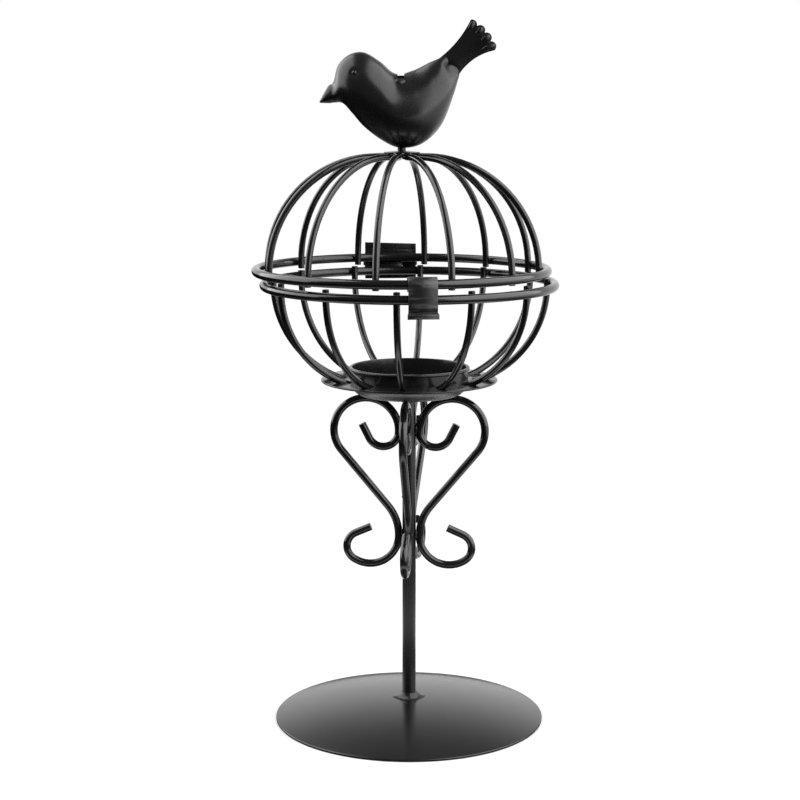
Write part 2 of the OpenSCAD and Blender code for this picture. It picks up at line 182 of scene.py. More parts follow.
class Tree:
    """A tree of nodes, with the method that adds any node to it."""

    def __init__(self, tree):
        self.tree = tree

    def node(self, kind, settings=None, inputs=None, out=0):
        made = self.tree.nodes.new(kind)
        for key, value in (settings or {}).items():
            setattr(made, key, value)
        for key, value in (inputs or {}).items():
            if isinstance(value, Value):
                self.tree.links.new(value.socket, made.inputs[key])
            else:
                made.inputs[key].default_value = value
        return Value(self, made.outputs[out]) if len(made.outputs) else made

    def step(self, value, low, high, start=0.0, end=1.0):
        """value between low and high, smoothly, as a number from start to end."""
        inputs = {"Value": value, "From Min": low, "From Max": high, "To Min": start, "To Max": end}
        return self.node("ShaderNodeMapRange", {"interpolation_type": "SMOOTHSTEP"}, inputs)


class Finish(Tree):
    """The node tree of one paint or metal."""

    def __init__(self, name):
        self.material = bpy.data.materials.new(name)
        self.material.use_nodes = True
        super().__init__(self.material.node_tree)
        self.tree.nodes.clear()
        self.place = self.node("ShaderNodeTexCoord", out="Object")

    def noise(self, scale, detail=2.0, place=None):
        """Soft noise from 0 to 1; scale is in lumps per metre."""
        inputs = {"Vector": place or self.place, "Scale": scale, "Detail": detail}
        return self.node("ShaderNodeTexNoise", {}, inputs, out="Fac")

    def tint(self, amount, a, b):
        """Colour a turning into colour b as amount goes from 0 to 1."""
        return self.node("ShaderNodeMix", {"data_type": "RGBA"}, {0: amount, 6: a, 7: b}, out=2)

    def bump(self, height, distance, strength):
        inputs = {"Strength": strength, "Distance": distance, "Height": height}
        return self.node("ShaderNodeBump", {}, inputs)

    def close(self, shader):
        self.node("ShaderNodeOutputMaterial", {}, {"Surface": shader})
        return self.material


class Pattern(Tree):
    """A Geometry Nodes tree with named inputs; it ends in real geometry with its paint on."""

    def __init__(self, name):
        super().__init__(bpy.data.node_groups.new(name, "GeometryNodeTree"))
        for way in ("INPUT", "OUTPUT"):
            self.tree.interface.new_socket("Geometry", in_out=way, socket_type="NodeSocketGeometry")
        self.entry = self.tree.nodes.new("NodeGroupInput")

    def knob(self, name, kind="Float"):
        if name != "Geometry":
            socket_type = "NodeSocket" + kind
            self.tree.interface.new_socket(name, in_out="INPUT", socket_type=socket_type)
        return Value(self, self.entry.outputs[name])

    def wire(self, path):
        """Round wire along a path; a point's own radius thins it there."""
        circle = {"Resolution": self.knob("Sides", "Int"), "Radius": self.knob("Wire radius")}
        ring = self.node("GeometryNodeCurvePrimitiveCircle", {"mode": "RADIUS"}, circle)
        thin = self.node("GeometryNodeInputRadius")
        inputs = {"Curve": path, "Profile Curve": ring, "Scale": thin, "Fill Caps": True}
        return self.node("GeometryNodeCurveToMesh", {}, inputs)

    def close(self, geometry):
        real = self.node("GeometryNodeRealizeInstances", {}, {"Geometry": geometry})
        inputs = {"Geometry": real, "Material": self.knob("Paint", "Material")}
        painted = self.node("GeometryNodeSetMaterial", {}, inputs)
        self.node("NodeGroupOutput", {}, {0: painted})
        return self.tree


def wire_pattern():
    """One bent wire."""
    tree = Pattern("bent_wire")
    return tree.close(tree.wire(tree.knob("Geometry")))


def rib_pattern():
    """One bent wire repeated round the cage."""
    tree = Pattern("cage_ribs")
    rib = tree.wire(tree.knob("Geometry"))
    spots = tree.node("GeometryNodePoints", {}, {"Count": tree.knob("Ribs", "Int")})
    index = tree.node("GeometryNodeInputIndex")
    angle = tree.knob("First angle") + index * tree.knob("Step")
    turn = tree.node("ShaderNodeCombineXYZ", {}, {"Z": angle})
    turned = tree.node("FunctionNodeEulerToRotation", {}, {"Euler": turn})
    inputs = {"Points": spots, "Instance": rib, "Rotation": turned}
    ring = tree.node("GeometryNodeInstanceOnPoints", {}, inputs)
    shift = {"Geometry": ring, "Translation": tree.knob("Middle", "Vector")}
    return tree.close(tree.node("GeometryNodeTransform", {}, shift))


def weld_pattern():
    """A lump of weld metal at each point, with the size and turn that the point holds."""
    tree = Pattern("weld_beads")
    inputs = {"Radius": 1.0, "Subdivisions": tree.knob("Fineness", "Int")}
    ball = tree.node("GeometryNodeMeshIcoSphere", {}, inputs)
    vector = {"data_type": "FLOAT_VECTOR"}
    size = tree.node("GeometryNodeInputNamedAttribute", vector, {"Name": "bead_size"})
    turn = tree.node("GeometryNodeInputNamedAttribute", vector, {"Name": "bead_turn"})
    turned = tree.node("FunctionNodeEulerToRotation", {}, {"Euler": turn})
    inputs = {"Points": tree.knob("Geometry"), "Instance": ball, "Rotation": turned, "Scale": size}
    beads = tree.node("GeometryNodeInstanceOnPoints", {}, inputs)
    real = tree.node("GeometryNodeRealizeInstances", {}, {"Geometry": beads})
    inputs = {"Scale": tree.knob("Lumps"), "Detail": 1.0}
    lumps = tree.node("ShaderNodeTexNoise", {}, inputs, out="Fac")
    height = (lumps - 0.5) * tree.knob("Roughness")
    normal = tree.node("GeometryNodeInputNormal")
    push = tree.node("ShaderNodeVectorMath", {"operation": "SCALE"}, {0: normal, "Scale": height})
    uneven = tree.node("GeometryNodeSetPosition", {}, {"Geometry": real, "Offset": push})
    return tree.close(uneven)


# ---- Paints and metals ----

def black_enamel(name, gloss, sheen_change=0.10, peel=0.4, dust=0.5, light=0.0, ior=1.55,
                 streaking=0.0):
    """Satin black enamel: near-black, with slow changes of sheen, fine peel and a few specks.

    light adds to its colour, which on the cup's foot is a painted reflection of the pale floor, and
    streaking lays pale streaks over it.
    """
    paint = Finish(name)
    cloud = paint.noise(38, 3)
    streak = paint.noise(260, 2)
    grain = paint.noise(2600, 2)
    flow = paint.noise(620, 2)
    cells = {"Vector": paint.place, "Scale": 420.0}
    speck = paint.node("ShaderNodeTexVoronoi", {}, cells, out="Distance")
    kept = paint.step(paint.noise(150, 1), 0.60, 0.66)
    specks = (1 - paint.step(speck, 0.07, 0.13)) * kept * dust
    shades = ((0.0085, 0.0085, 0.0088), (0.0125, 0.0124, 0.0126))
    shade = paint.tint(cloud, *[(*(part + light for part in grey), 1) for grey in shades])
    # Pale grey streaks, stretched across the piece, laid over the colour
    if streaking:
        stretch = {"Vector": paint.place, "Scale": (0.35, 1.0, 1.6)}
        drawn = paint.node("ShaderNodeMapping", {}, stretch)
        pale_streaks = paint.step(paint.noise(300, 2, drawn), 0.46, 0.66) * streaking
        shade = paint.tint(pale_streaks, shade, (0.12, 0.12, 0.12, 1))
    dusted = paint.tint((grain - 0.42).held() * 0.22 * dust, shade, (0.06, 0.06, 0.062, 1))
    colour = paint.tint(specks * 0.35, dusted, (0.16, 0.155, 0.15, 1))
    rough = (gloss + (cloud - 0.5) * sheen_change + (streak - 0.5) * 0.08
             + (grain - 0.5) * 0.10 + specks * 0.2)
    height = flow * peel + grain * 0.12 * peel + specks * 0.5
    normal = paint.bump(height, 0.00012, 0.5)
    inputs = {"Base Color": colour, "Roughness": rough.held(), "Normal": normal,
              "IOR": ior, "Specular IOR Level": 0.5}
    return paint.close(paint.node("ShaderNodeBsdfPrincipled", {}, inputs))


def zinc_steel(name):
    """Dull zinc-plated steel with turning marks."""
    metal = Finish(name)
    cloud = metal.noise(300, 3)
    grain = metal.noise(3000, 2)
    rings = metal.node("ShaderNodeTexWave", {"wave_type": "RINGS", "rings_direction": "Z"},
                       {"Vector": metal.place, "Scale": 900.0, "Distortion": 0.4}, out="Fac")
    colour = metal.tint(cloud, (0.36, 0.36, 0.37, 1), (0.50, 0.50, 0.50, 1))
    rough = 0.34 + (cloud - 0.5) * 0.2 + (grain - 0.5) * 0.12
    normal = metal.bump(rings * 0.6 + grain * 0.4, 0.00003, 0.6)
    inputs = {"Base Color": colour, "Roughness": rough.held(), "Metallic": 1.0, "Normal": normal}
    return metal.close(metal.node("ShaderNodeBsdfPrincipled", {}, inputs))


ENAMEL = {
    "wire": black_enamel("black_enamel_wire", 0.14, peel=0.4, ior=1.68),
    "sheet": black_enamel("black_enamel_sheet", 0.20, peel=0.25),
    "foot": black_enamel("black_enamel_foot", 0.19, sheen_change=0.05, peel=0.12, dust=0.25,
                         ior=1.75),
    "bird": black_enamel("black_enamel_bird", 0.26, sheen_change=0.06, peel=0.12, dust=0.3),
    "weld": black_enamel("black_enamel_weld", 0.30, peel=1.0, dust=0.8),
    "works": black_enamel("black_enamel_works", 0.24, peel=0.6, dust=0.6, ior=1.5),
}
STEEL = zinc_steel("zinc_steel_turned")
# The latch's paint: more dust and peel, a slightly lighter colour and pale streaks
LATCH_PAINT = black_enamel("black_enamel_latch", 0.34, sheen_change=0.25, peel=1.0, dust=1.4,
                           light=0.012, streaking=0.9)
# The cup's outside below the plate: a lighter colour and a stronger mirror, painted in as a
# reflection of the pale floor
CUP_FOOT_PAINTED_REFLECTION = black_enamel("black_enamel_cup_foot", 0.34, peel=0.3, light=0.07, ior=2.4)


# ---- Mesh helpers ----

def smooth(mesh, angle=35):
    """Smooth shading, with edges sharper than angle kept."""
    mesh.shade_smooth()
    mesh.set_sharp_from_angle(angle=math.radians(angle))


def face_outward(mesh, merge=0.0):
    """Turns every face outward, once points nearer than merge are made one."""
    work = bmesh.new()
    work.from_mesh(mesh)
    if merge:
        bmesh.ops.remove_doubles(work, verts=work.verts, dist=merge)
    bmesh.ops.recalc_face_normals(work, faces=work.faces)
    work.to_mesh(mesh)
    work.free()


def add_object(name, data):
    made = bpy.data.objects.new(name, data)
    bpy.context.scene.collection.objects.link(made)
    return made


def add_mesh(name, points, faces, paint, outward=True, angle=35):
    """A new piece from points in millimetres."""
    mesh = bpy.data.meshes.new(name)
    mesh.from_pydata([Vector(p) * MM for p in points], [], faces)
    if outward:
        face_outward(mesh, merge=1e-7)
    smooth(mesh, angle)
    mesh.materials.append(paint)
    return add_object(name, mesh)


def settle(piece, angle=35):
    """Turns a piece with modifiers into a plain mesh of the same name."""
    seen = piece.evaluated_get(bpy.context.evaluated_depsgraph_get())
    mesh = bpy.data.meshes.new_from_object(seen)
    name = piece.name
    bpy.data.objects.remove(piece)
    mesh.name = name
    smooth(mesh, angle)
    return add_object(name, mesh)


def grow(name, source, pattern, values, angle=35):
    """Runs a Geometry Nodes pattern on a curve or a cloud of points and keeps the mesh."""
    piece = add_object(name, source)
    modifier = piece.modifiers.new("pattern", "NODES")
    modifier.node_group = pattern
    for item in pattern.interface.items_tree:
        if item.in_out == "INPUT" and item.name in values:
            modifier[item.identifier] = values[item.name]
    return settle(piece, angle)


SHEAR_L, SHEAR_SHARE = 0.12, 0.86


def path_curve(name, points):
    """A curve through points in millimetres, thinned at both ends as a sheared wire is."""
    ends = [points[0] + (points[1] - points[0]).normalized() * SHEAR_L,
            points[-1] + (points[-2] - points[-1]).normalized() * SHEAR_L]
    line = [points[0], ends[0]] + points[1:-1] + [ends[1], points[-1]]
    curve = bpy.data.curves.new(name, "CURVE")
    curve.dimensions = "3D"
    spline = curve.splines.new("POLY")
    spline.points.add(len(line) - 1)
    for spot, point in zip(spline.points, line):
        spot.co = (*(point * MM), 1)
        spot.radius = 1.0
    spline.points[0].radius = spline.points[-1].radius = SHEAR_SHARE
    return curve


BEND_STEP = 5


def bent_path(start, heading, steps):
    """Points of a wire bent in a plane: each step is (length, 0) or (bend radius, turn)."""
    place = Vector(start)
    points = [place.copy()]
    for size, turn in steps:
        if turn == 0:
            place = place + Vector((cos(heading), sin(heading))) * size
            points.append(place.copy())
            continue
        side = 1 if turn > 0 else -1
        middle = place + Vector((-sin(heading), cos(heading))) * size * side
        count = max(2, math.ceil(abs(turn) / BEND_STEP))
        for k in range(1, count + 1):
            angle = heading + turn * k / count
            points.append(middle - Vector((-sin(angle), cos(angle))) * size * side)
        heading += turn
        place = points[-1].copy()
    return points


def upright(points, angle):
    """Stands (radius, height) points up at an angle from the front."""
    return [Vector((p[0] * sin(angle), -p[0] * cos(angle), p[1])) for p in points]


def rounded(corners, radii, steps=5):
    """An outline with its corners rounded; radii has one radius a corner, 0 for none."""
    outline = []
    count = len(corners)
    for i, radius in enumerate(radii):
        here = Vector(corners[i])
        to_last = Vector(corners[i - 1]) - here
        to_next = Vector(corners[(i + 1) % count]) - here
        if radius == 0:
            outline.append(here)
            continue
        a, b = to_last.normalized(), to_next.normalized()
        half = a.angle(b) / 2
        reach = radius / math.tan(half)
        middle = here + (a + b).normalized() * radius / math.sin(half)
        start, end = here + a * reach - middle, here + b * reach - middle
        turn = start.angle(end)
        for k in range(steps + 1):
            t = k / steps
            swung = start * math.sin((1 - t) * turn) + end * math.sin(t * turn)
            outline.append(middle + swung / math.sin(turn))
    return outline


def arc(middle, radius, start, end, steps):
    angles = [start + (end - start) * k / steps for k in range(steps + 1)]
    return [Vector((middle[0] + radius * cos(a), middle[1] + radius * sin(a))) for a in angles]


def lathe(name, outline, paint, steps, x=0, angle=35):
    """Turns a closed outline of (radius, height) round a vertical axis."""
    points, faces = [], []
    count = len(outline)
    for k in range(steps):
        a = 360 * k / steps
        points += [(x + p[0] * cos(a), p[0] * sin(a), p[1]) for p in outline]
        for j in range(count):
            i, n, m = k * count, ((k + 1) % steps) * count, (j + 1) % count
            faces.append((i + j, i + m, n + m, n + j))
    return add_mesh(name, points, faces, paint, angle=angle)


def loft(name, rings, paint, angle=35):
    """Skins a row of rings of points and closes both ends."""
    count = len(rings[0])
    points = [p for ring in rings for p in ring]
    faces = [tuple(range(count)), tuple(range(len(points) - count, len(points)))]
    for k in range(len(rings) - 1):
        for j in range(count):
            m = (j + 1) % count
            i = k * count
            faces.append((i + j, i + m, i + count + m, i + count + j))
    return add_mesh(name, points, faces, paint, angle=angle)


def prism(name, outline, along, paint, bevel):
    """A flat outline of 3D points pushed along a vector, with softened edges."""
    piece = loft(name, [outline, [Vector(p) + Vector(along) for p in outline]], paint)
    soften = piece.modifiers.new("soften", "BEVEL")
    soften.width = bevel * MM
    soften.segments = 2
    soften.limit_method = "ANGLE"
    soften.angle_limit = math.radians(40)
    return settle(piece)


def join(name, parts):
    """Several meshes as one piece."""
    work = bmesh.new()
    paints = []
    for part in parts:
        work.from_mesh(part.data)
        paints += [m for m in part.data.materials if m not in paints]
    mesh = bpy.data.meshes.new(name)
    work.to_mesh(mesh)
    work.free()
    for part in parts:
        bpy.data.objects.remove(part)
    for paint in paints:
        mesh.materials.append(paint)
    smooth(mesh)
    return add_object(name, mesh)


def fit(piece, body, *nodes, slot="black_paint"):
    """Makes a piece ride on its body in place of the solids it stands for."""
    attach(piece, body)
    if nodes:
        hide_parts(*nodes)
    return piece


# ---- Foot and post ----

def dome_height(r, lift):
    """Height of the base disc's sheet at radius r: lift 0 is its underside and BASE_T its top."""
    rise = BASE_TOP - BASE_T + REST_FLAT
    ball = (BASE_R ** 2 + rise ** 2) / (2 * rise)
    return BASE_TOP - BASE_T - ball + math.sqrt((ball + lift) ** 2 - r * r)


def foot_disc():
    """The domed disc: its top from the hole out, its rounded rim and its underside back in."""
    steps = 24
    turned_r, flat_r = BASE_R - 0.8, BASE_R - 0.93
    top = [SCREW_HOLE_R + (BASE_R - SCREW_HOLE_R) * k / steps for k in range(steps)]
    under = [flat_r + (SCREW_HOLE_R - flat_r) * k / steps for k in range(steps + 1)]
    outline = [(r, dome_height(r, BASE_T)) for r in top]
    edge = rounded([(turned_r, dome_height(turned_r, BASE_T)),
                    (BASE_R, dome_height(BASE_R, BASE_T)), (BASE_R, 0), (flat_r, 0)],
                   [0, 0.3, 0.2, 0])
    outline += edge + [(r, max(0, dome_height(r, 0))) for r in under[1:]]
    return lathe("foot_disc", outline, ENAMEL["foot"], steps=256, angle=60)


FOLD_DEPTH, FOLD_SHARPNESS = 0.36, 0.65


def foot_flare():
    """The collar at the post's foot, a flared skirt folded into four corners."""
    rim = dome_height(COLLAR_R, BASE_T)
    slope, climb = COLLAR_R - POST_R - 0.45, COLLAR_TOP - rim - 0.3
    side = [(COLLAR_R - slope * t ** 0.8, rim + 0.25 + climb * t ** 1.7)
            for t in [k / 8 for k in range(9)]]
    bore = POST_R - 0.05
    outline = [(bore, rim - 0.1), (COLLAR_R, rim - 0.05)] + side + [(bore, COLLAR_TOP - 0.02)]
    flare = lathe("foot_flare", outline, ENAMEL["works"], steps=96, angle=25)
    inside = (POST_R + 0.3) * MM
    for v in flare.data.vertices:
        out = math.hypot(v.co.x, v.co.y)
        if out > inside:
            fold = abs(math.sin(2 * math.atan2(v.co.y, v.co.x))) ** FOLD_SHARPNESS
            k = (inside + (out - inside) * (1 - FOLD_DEPTH * fold)) / out
            v.co.x *= k
            v.co.y *= k
    return flare


def stand_rod():
    foot = BASE_TOP - 0.02
    outline = rounded([(0, foot), (POST_R, foot), (POST_R, CUP_Z), (0, CUP_Z)], [0, 0.2, 0.2, 0])
    return lathe("stand_rod", outline, ENAMEL["bird"], steps=48)


# ---- Scrolls ----

def scroll_bends():
    """Where a scroll's wire starts, at its curl, and its bends down to the hook's tail."""
    start = (CONTACT_R + CURL_R * (1 + sin(CURL_SLOPE)) + CURL_TAIL * cos(CURL_SLOPE),
             LOOP_Z - BEND_GAP - CURL_R * cos(CURL_SLOPE) + CURL_TAIL * sin(CURL_SLOPE))
    steps = [(CURL_TAIL, 0), (CURL_R, -90 - CURL_SLOPE), (BEND_GAP, 0),
             (LOOP_R, RUN_SLOPE - 270), (RUN, 0), (WAIST_R, 90 - RUN_SLOPE), (BEND_GAP, 0),
             (HOOK_R, 90 + HOOK_OPEN), (BEND_GAP, 0),
             (HOOK_TIP_R, HOOK_TIP_SLOPE - HOOK_OPEN), (HOOK_TAIL, 0)]
    return start, steps


# ---- The cage ----

def hoop_ring(name, x, z):
    ring = [Vector((HOOP_R + HOOP_WIRE_R * cos(a), z + HOOP_WIRE_R * sin(a)))
            for a in range(0, 360, 15)]
    return lathe(name, ring, ENAMEL["wire"], steps=240, x=x, angle=80)


# How far the bowl's ribs run on past the top of the plate, and how deep they end in it
RIB_FOOT_MORE, RIB_FOOT_BITE = 0.8, 0.3


def bowl_rib_points():
    last = math.degrees(math.asin((BOWL_DEPTH + RIB_FOOT_MORE) / BOWL_R))
    points = [(RIB_LINE_R, LOWER_HOOP_Z + RIB_TAIL), (RIB_LINE_R, LOWER_HOOP_Z)]
    points += [(RIB_LINE_R - BOWL_R * (1 - cos(a)), LOWER_HOOP_Z - BOWL_R * sin(a))
               for a in [last * k / 20 for k in range(1, 21)]]
    return upright(points, 90)


def dome_rib_points():
    points = [(RIB_LINE_R, UPPER_HOOP_Z - RIB_TAIL), (RIB_LINE_R, UPPER_HOOP_Z)]
    points += [(RIB_LINE_R - DOME_H * (1 - cos(a)), UPPER_HOOP_Z + DOME_H * sin(a))
               for a in range(4, 90, 4)]
    points += [(RIB_LINE_R - DOME_H, UPPER_HOOP_Z + DOME_H), (RIB_HEAD_R, UPPER_HOOP_Z + DOME_H)]
    return upright(points, 90)


def ribs(name, points, first, x):
    values = {"Sides": 20, "Wire radius": RIB_R * MM, "Ribs": RIBS,
              "Step": math.radians(360 / RIBS), "First angle": math.radians(first - 90),
              "Middle": (x * MM, 0, 0), "Paint": ENAMEL["wire"]}
    return grow(name, path_curve(name, points), RIB_TREE, values, angle=50)


def keep_above(piece, z):
    """Ends a wire inside the sheet it is welded to."""
    for v in piece.data.vertices:
        v.co.z = max(v.co.z, z * MM)


# ---- Cup and plate ----

def cup_spun():
    """The candle cup with its rolled brim; below the plate its outside has a lighter paint of its
    own, a painted reflection of the pale floor.
    """
    corner, brim_r, lip_r = (CUP_R - CUP_CORNER, CUP_Z + CUP_CORNER), CUP_BEAD / 2, 0.3
    outline = [(0, CUP_Z)] + arc(corner, CUP_CORNER, -90, 0, 14)
    outline += arc((CUP_R, RIM_Z - brim_r), brim_r, -88, 90, 10)
    outline += arc((CUP_R - CUP_T + lip_r, RIM_Z - lip_r), lip_r, 92, 180, 4)
    outline += arc(corner, CUP_CORNER - CUP_T, 0, -90, 12)
    outline += [(0, CUP_Z + CUP_T)]
    cup = lathe("candle_cup_spun", outline, ENAMEL["sheet"], steps=192, angle=50)
    cup.data.materials.append(CUP_FOOT_PAINTED_REFLECTION)
    # The outside faces below the plate take the paint with the painted reflection of the floor
    for face in cup.data.polygons:
        middle = face.center
        outside = middle.x * face.normal.x + middle.y * face.normal.y > 0
        if outside and middle.z < (PLATE_Z - PLATE_T) * MM:
            face.material_index = 1
    return cup


def drip_dish():
    half, bore = PLATE_T / 2, CUP_R + 0.02
    outline = [(bore, PLATE_Z - PLATE_T)]
    outline += arc((PLATE_R - half, PLATE_Z - half), half, -90, 90, 8)
    outline += [(bore, PLATE_Z)]
    return lathe("drip_dish", outline, ENAMEL["sheet"], steps=192, angle=50)


# ---- Crown and bird ----

def crown_disc():
    """The disc on which the ribs meet, with a rounded edge and a domed top."""
    low, high = CROWN_Z + 0.02, CROWN_Z + CROWN_T
    edge = low + 0.52
    outline = [(0, low), (CROWN_R - 1.2, low)]
    outline += [(CROWN_R - 0.05, low + 0.22), (CROWN_R, low + 0.38), (CROWN_R - 0.1, edge)]
    outline += [(CROWN_R * (1 - t), edge + (high - low - 0.52) * math.sin(t * math.pi / 2))
                for t in (0.2, 0.4, 0.6, 0.8)]
    outline += [(0, high)]
    return lathe("crown_disc", outline, ENAMEL["sheet"], steps=96, x=LID_X)


def perch_stem():
    bottom, top = (corner.z for corner in span("bird_stem"))
    outline = rounded([(0, bottom), (STEM_R, bottom), (STEM_R, top), (0, top)], [0, 0.15, 0.25, 0])
    return lathe("perch_stem", outline, ENAMEL["bird"], steps=40, x=LID_X)


# Bird stations from the beak to the rump: top x, top z, belly x, belly z, half width
BIRD = [
    (-29.2, 16.4, -29.1, 15.8, 0.8), (-26.2, 21.6, -25.6, 15.7, 2.2),
    (-24.3, 23.1, -23.6, 15.9, 3.4), (-22.6, 28.9, -20.8, 15.6, 6.4),
    (-18.6, 32.7, -17.6, 12.2, 9.0), (-13.4, 33.5, -13.2, 7.3, 10.6),
    (-7.8, 30.4, -6.6, 2.4, 11.8), (-2.2, 26.1, -0.4, 0.0, 12.1),
    (4.0, 27.2, 7.3, 1.5, 11.2), (9.8, 30.0, 14.0, 7.9, 8.9),
    (12.7, 31.2, 18.3, 18.3, 6.0), (14.0, 32.0, 20.3, 25.4, 1.6)]
BIRD_TAPER = 0.16
BACK_Z = 26.1 * BIRD_K
BIRD_T = 0.8
EYE = (-16.6, 26.2)
EYE_DEPTH, EYE_DIMPLE_R, EYE_SUNK = 0.32, 2.2, 0.5
# The raised line in front of the tail, on a circle seen from the side
CREASE, CREASE_R, CREASE_HALF_W, CREASE_H, CREASE_LOW = (19.6, 18.7), 6.2, 0.75, 0.16, 21.6
# The seam where the two skins meet: deepest on its line, shallow just beside it
SEAM_DEPTH, SEAM_SIDE_DEPTH = 0.16, 0.05


def bird_station(t):
    """The body's section at t, counted in stations, on a smooth curve through them."""
    i = min(int(t), len(BIRD) - 2)
    u = t - i
    a, b, c, d = (BIRD[max(0, min(len(BIRD) - 1, i + k))] for k in (-1, 0, 1, 2))
    return [0.5 * (2 * q + (r - p) * u + (2 * p - 5 * q + 4 * r - s) * u * u
                   + (3 * q - p - 3 * r + s) * u ** 3) * BIRD_K
            for p, q, r, s in zip(a, b, c, d)]


def bump_at(distance, radius, power=2):
    """1 at no distance, falling smoothly to 0 at the radius."""
    return (1 - min(distance / radius, 1) ** 2) ** power


def eye_relief(x, z):
    """How deep the sheet is pressed in round the eye."""
    away = math.hypot(x - EYE[0] * BIRD_K, z - EYE[1] * BIRD_K)
    return EYE_DEPTH * bump_at(away, EYE_DIMPLE_R, 1.5)


def skin_point(t, angle, inset):
    """A point of the skin at station t and an angle round the body, inset from its surface."""
    x_top, z_top, x_low, z_low, wide = bird_station(t)
    middle = Vector((x_top + x_low, z_top + z_low)) / 2
    up = Vector((x_top - x_low, z_top - z_low)) / 2
    high = max(up.length - inset, 0.3 * up.length) / up.length
    wide = max(wide - inset, 0.3 * wide)
    place = middle + up * high * sin(angle)
    return Vector((place.x, wide * cos(angle) * (1 - BIRD_TAPER * sin(angle)), place.y))


def skin_relief(point):
    """How deep the sheet is pressed in at a point; less than 0 where it stands out."""
    x, z = point.x / BIRD_K, point.z / BIRD_K
    crease = 0
    if x > 12:
        off = abs(math.hypot(x - CREASE[0], z - CREASE[1]) - CREASE_R)
        crease = bump_at(off, CREASE_HALF_W) * min(1, max(0, z - CREASE_LOW))
    return eye_relief(point.x, point.z) - CREASE_H * crease


def rump_lobe(t, angle):
    """How far the end of the sheet runs on past the rump, in scallops."""
    late = max(0, (t - (len(BIRD) - 2)) ** 3)
    scallop = abs(sin((90 - angle) * 2.3)) ** 0.6 - 0.3
    return late * 1.7 * scallop * min(1, (90 - abs(angle)) / 25)


def on_perch(point):
    """Takes a place on the bird, seen from its own belly, to the cage."""
    turned = Matrix.Rotation(math.radians(BIRD_TURN), 3, "Z") @ Vector(point)
    return turned + Vector((LID_X, 0, BELLY_Z))


def across_bird(width):
    """A width from the bird's left side to its right, as a step in the cage."""
    return on_perch((0, width, 0)) - on_perch((0, 0, 0))


def bird_skin(name, side):
    """Half of the body as one pressed sheet, with its eye pressed in and its rump cut in lobes."""
    rows, cols = 220, 60
    angles = [90, 89.2, 87.5] + [84 - 168 * k / (cols - 6) for k in range(cols - 5)]
    angles += [-87.5, -89.2, -90]
    outer, inner = [], []
    for n in range(rows + 1):
        t = (len(BIRD) - 1) * n / rows
        outer_row, inner_row = [], []
        for j, angle in enumerate(angles):
            seam = SEAM_DEPTH if abs(angle) > 89.5 else SEAM_SIDE_DEPTH if abs(angle) > 88 else 0
            skin = skin_point(t, angle, seam)
            press = skin_relief(skin)
            skin.y = max(skin.y - press, 0)
            wall = skin_point(t, angle, BIRD_T + seam)
            wall.y = max(wall.y - max(press, 0), 0)
            push = Vector((0.82, 0, 0.57)) * rump_lobe(t, angle)
            skin += push
            wall += push
            skin.y *= side
            wall.y *= side
            outer_row.append(on_perch(skin))
            inner_row.append(on_perch(wall))
        outer.append(outer_row)
        inner.append(inner_row)
    width = len(angles)
    points = [p for row in outer for p in row] + [p for row in inner for p in row]
    shift = (rows + 1) * width
    faces = []
    for n in range(rows):
        for j in range(width - 1):
            a = n * width + j
            faces.append((a, a + 1, a + width + 1, a + width))
            faces.append((shift + a, shift + a + width, shift + a + width + 1, shift + a + 1))
        for j in (0, width - 1):
            a = n * width + j
            faces.append((a, a + width, shift + a + width, shift + a))
    for n in (0, rows):
        for j in range(width - 1):
            a = n * width + j
            faces.append((a, a + 1, shift + a + 1, shift + a))
    return add_mesh(name, points, faces, ENAMEL["bird"], angle=50)


def stem_hole(piece):
    """Opens a bird half for the stem, close below and with some play in the back."""
    top = BELLY_Z + 12 * BIRD_K
    cutters = []
    for r, low, high in ((STEM_R + 0.05, CROWN_Z, top + 0.1), (STEM_R + 0.35, top, top + 30)):
        outline = [(0, low), (r, low), (r, high), (0, high)]
        cutters.append(lathe("cutter", outline, ENAMEL["bird"], steps=32, x=LID_X))
    half = 7
    notch = rounded([(-1.3, 4), (-1.15, -1.9), (1.15, -1.9), (1.3, 4)], [0, 0.5, 0.5, 0])
    near = [on_perch((p.x - 0.3, -half, BACK_Z + p.y)) for p in notch]
    far = [p + on_perch((0, 2 * half, 0)) - on_perch((0, 0, 0)) for p in near]
    cutters.append(loft("cutter", [near, far], ENAMEL["bird"]))
    for cutter in cutters:
        cut = piece.modifiers.new("stem_hole", "BOOLEAN")
        cut.operation = "DIFFERENCE"
        cut.solver = "EXACT"
        cut.object = cutter
    done = settle(piece, 50)
    for cutter in cutters:
        bpy.data.objects.remove(cutter)
    return done


# The tail fan, measured from its root: feathers, their tips and the two hollow edges
TAIL_ROOT = Vector((18.6, 30.6))
TAIL_ANGLES = [20.7 + 42.9 * i / 3 for i in range(4)]
# Length, width and height of the knob on each feather
TAIL_KNOBS = ((2.9, 1.2, 1.25), (2.1, 1.25, 1.2), (2.0, 1.2, 1.2), (2.2, 1.15, 1.15))
TAIL_TIP = 13.9
TAIL_TIP_R = 1.8
TAIL_HALF_T = 0.6
TAIL_UNDER = (Vector((36.43, 15.21)), 19.27)
TAIL_OVER = (Vector((-8.76, 60.87)), 36.77)
RUMP_TOP, RUMP_LOW = Vector((14.0, 32.0)), Vector((20.3, 25.4))


def tail_reach(angle):
    """How far the fan reaches at an angle from its root."""
    off = min(abs(angle - a) for a in TAIL_ANGLES)
    across = TAIL_TIP * sin(off)
    return TAIL_TIP * cos(off) + math.sqrt(max(0, TAIL_TIP_R ** 2 - across ** 2))


def hollow_edge(hollow, start, end):
    """Points along a hollow edge from near one place to near another."""
    middle, radius = hollow
    first, last = (math.degrees(math.atan2(*(p - middle).yx)) for p in (start, end))
    return arc(middle, radius, first, last, 16)


